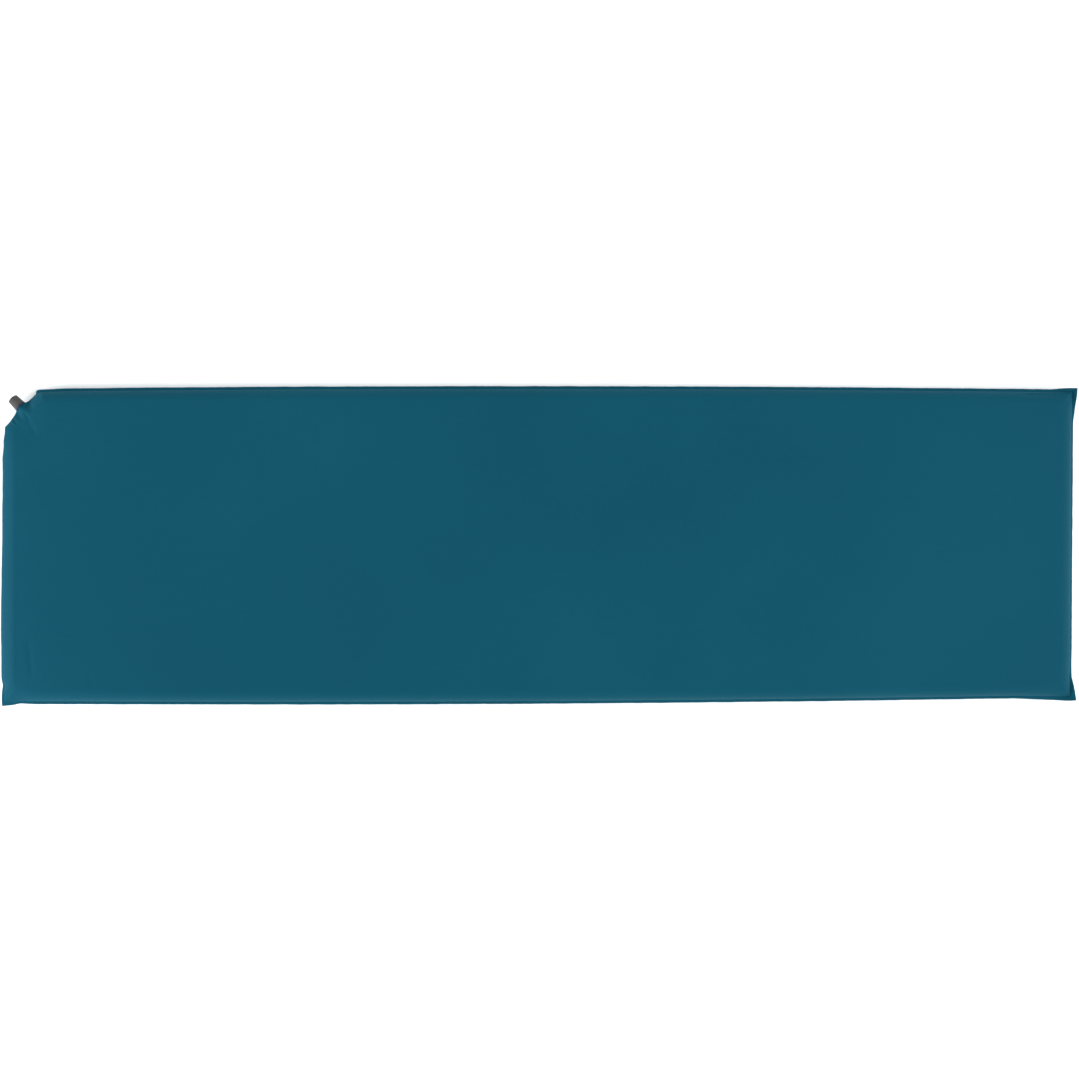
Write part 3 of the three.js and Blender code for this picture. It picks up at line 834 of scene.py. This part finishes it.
def foam_material():
    """Open-cell foam: a net of cell walls round pores darkened with painted shade."""
    material, tree, shader = new_material("open_cell_foam", (0.8, 0.74, 0.6), 0.95)
    position = object_position(tree)
    cells = node(tree, "ShaderNodeTexVoronoi", Scale=900.0)
    cells.feature = "DISTANCE_TO_EDGE"
    tree.links.new(position, cells.inputs["Vector"])
    wall = ramp(tree, cells.outputs["Distance"], 0.02, 0.25, 1, 0)
    aged = mixed_colour(tree, noise_field(tree, position, 9, 3.0), (0.74, 0.66, 0.48), (0.84, 0.79, 0.66))
    # Painted shade: the middles of the cells, the pores, take the dark brown, and the cell walls keep the paler
    # foam colour.
    walls_and_shaded_pores = mixed_colour(tree, wall, (0.5, 0.43, 0.3), aged)
    tree.links.new(walls_and_shaded_pores, shader.inputs["Base Color"])
    bump(tree, shader, wall, 0.3 * MM, 0.8)
    return material


def print_material():
    """Rubbery anti-slip print, rubbed paler in patches."""
    material, tree, shader = new_material("grip_print", (0.024, 0.033, 0.04), 0.55)
    shader.inputs["Specular IOR Level"].default_value = 0.45
    position = object_position(tree)
    wear = noise_field(tree, position, 45, 5.0, 0.65)
    rubbed = ramp(tree, wear, 0.4, 0.7, 0, 1)
    worn = mixed_colour(tree, rubbed, (0.02, 0.028, 0.034), (0.05, 0.06, 0.066))
    tree.links.new(worn, shader.inputs["Base Color"])
    bump(tree, shader, noise_field(tree, position, 1400, 3.0), 0.06 * MM, 0.6)
    return material


def plastic_material(name, colour, roughness, specular=0.3):
    """Moulded plastic: fine spark-eroded grain, darker and lighter patches and paler, polished corners."""
    material, tree, shader = new_material(name, colour, roughness)
    shader.inputs["Specular IOR Level"].default_value = specular
    position = object_position(tree)
    geometry = node(tree, "ShaderNodeNewGeometry")
    worn = ramp(tree, geometry.outputs["Pointiness"], 0.52, 0.62, 0, 0.55)
    patch = noise_field(tree, position, 260, 4.0, 0.6)
    darker = tuple(c * 0.8 for c in colour)
    lighter = tuple(min(1, c * 1.2) for c in colour)
    pale = tuple(min(1, c * 2.1 + 0.02) for c in colour)
    base = mixed_colour(tree, ramp(tree, patch, 0.3, 0.7, 0, 1), darker, lighter)
    tree.links.new(mixed_colour(tree, worn, base, pale), shader.inputs["Base Color"])
    grain = noise_field(tree, position, 700, 2.0)
    rough = ramp(tree, grain, 0.3, 0.7, roughness - 0.08, roughness + 0.1)
    tree.links.new(rough, shader.inputs["Roughness"])
    bump(tree, shader, noise_field(tree, position, 1800, 3.0, 0.6), 0.05 * MM, 0.5)
    return material


def floor_material():
    material, _, shader = new_material("studio_floor", (0.93, 0.93, 0.93), 0.9)
    shader.inputs["Specular IOR Level"].default_value = 0.1
    return material


def dress(obj, material):
    obj.data.materials.clear()
    obj.data.materials.append(material)


# ---------------------------------------------------------------- the pad
def build_pad():
    """The covers, films, foam and print, each standing for its CAD node."""
    fine = seam_stations(FINE_SPACING)
    coarse = seam_stations(COARSE_SPACING)
    top = skin("top_cloth", fine, CLOTH, 1, UPPER_RINGS)
    dress(top, cloth_material("woven_teal", *UPPER_DYE))
    under = skin("under_cloth", fine, CLOTH, -1, UNDER_RINGS)
    dress(under, cloth_material("woven_under", *UNDER_DYE))
    film = film_material()
    top_film = skin("top_laminate", fine, FILM, 1, UPPER_RINGS)
    under_film = skin("under_laminate", fine, FILM, -1, UNDER_RINGS)
    for sheet in (top_film, under_film):
        dress(sheet, film)
    foam = foam_slab(coarse)
    dress(foam, foam_material())
    dots = grip_dots()
    dress(dots, print_material())
    stands_for = (
        (top, "top_cover", "top_cloth"),
        (under, "bottom_cover", "under_cloth"),
        (top_film, "top_film", "film"),
        (under_film, "bottom_film", "film"),
        (foam, "foam_core", "foam"),
        (dots, "grip_print", "print"),
    )
    for piece, cad_node, slot in stands_for:
        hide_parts(cad_node)
        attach(piece, "pad")


def build_valve():
    """The moulded cap in place of the CAD one, and looks for the valve's other pieces."""
    cap = moulded_cap()
    dress(cap, plastic_material("cap_plastic", (0.040, 0.036, 0.033), 0.6))
    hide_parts("valve_cap")
    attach(cap, "cap")
    looks = {
        # The valve base's dark navy is partly its own colour and partly painted shade, darkened to stand for
        # the shade between the cap and the cloth.
        "valve_base": plastic_material("base_plastic", (0.008, 0.014, 0.028), 0.55, 0.2),
        "valve_stem": plastic_material("stem_plastic", (0.036, 0.034, 0.042), 0.45),
        "stem_o_ring": plastic_material("seal_rubber", (0.010, 0.010, 0.011), 0.6),
        "cap_gasket": plastic_material("gasket_silicone", (0.30, 0.31, 0.31), 0.6),
    }
    looks["valve_core"] = looks["cap_stop_ring"] = looks["valve_stem"]
    for name, material in looks.items():
        part = frame["nodes"][name]
        dress(part, material)
        smooth_by_angle(part)


# ---------------------------------------------------------------- studio
FLOOR_SIZE = 14.0
WHITE = (1, 1, 1)
COOL_WHITE = (0.9, 0.96, 1.0)
LIGHTS = [  # name, place, where it points, size, watts and colour
    ("overhead", (0.7, 0.0, 2.6), (0.3, 0, 0), (3.2, 2.0), 38, WHITE),
    ("left_softbox", (-3.0, -1.2, 1.0), (0, 0, 0), (2.0, 1.2), 145, COOL_WHITE),
    ("right_softbox", (3.0, -0.6, 1.0), (0, 0, 0), (2.0, 1.2), 66, COOL_WHITE),
    ("front_softbox", (0.0, -2.8, 1.2), (0, 0, 0), (3.0, 1.4), 12, WHITE),
    ("back_softbox", (0.0, 2.8, 1.2), (0, 0, 0), (3.0, 1.4), 34, WHITE),
]


def add_area_light(name, at, aim, size, power, colour):
    data = bpy.data.lights.new(name, "AREA")
    data.shape = "RECTANGLE"
    data.size, data.size_y = size
    data.energy = power
    data.color = colour
    light = bpy.data.objects.new(name, data)
    light.location = at
    light.rotation_mode = "QUATERNION"
    light.rotation_quaternion = (Vector(aim) - Vector(at)).to_track_quat("-Z", "Y")
    bpy.context.scene.collection.objects.link(light)


def build_studio():
    half = FLOOR_SIZE / 2
    z = CAD_LOW.z - 0.05 * MM
    corners = [(-half, -half, z), (half, -half, z), (half, half, z), (-half, half, z)]
    mesh = bpy.data.meshes.new("floor")
    mesh.from_pydata(corners, [], [(0, 1, 2, 3)])
    floor = bpy.data.objects.new("floor", mesh)
    bpy.context.scene.collection.objects.link(floor)
    dress(floor, floor_material())
    world = bpy.data.worlds.new("studio")
    world.use_nodes = True
    background = world.node_tree.nodes["Background"]
    background.inputs["Color"].default_value = (0.93, 0.97, 1.0, 1)
    background.inputs["Strength"].default_value = 0.75
    bpy.context.scene.world = world
    for light in LIGHTS:
        add_area_light(*light)
    view = bpy.context.scene.view_settings
    view.view_transform = "Standard"
    view.look = "None"
    view.exposure = 0.0


def build_camera():
    """Above the pad, leaning so that its right-hand end is a little further away than its left-hand one."""
    distance = 3.0
    tilt = math.radians(2.145)
    roll = math.radians(-0.15)
    view_width = 1.0022 * (CAD_HIGH.x - CAD_LOW.x)  # the pad fills the view from side to side
    aim = Vector((-10.3 * MM, 9.6 * MM, SEAM_Z))
    data = bpy.data.cameras.new("camera")
    data.lens = data.sensor_width * distance / view_width
    data.clip_start, data.clip_end = 0.05, 50
    camera = bpy.data.objects.new("camera", data)
    camera.location = aim + distance * Vector((-math.sin(tilt), 0, math.cos(tilt)))
    camera.rotation_euler = (0, -tilt, roll)
    bpy.context.scene.collection.objects.link(camera)
    bpy.context.scene.camera = camera


build_camera()
build_pad()
build_valve()
build_studio()
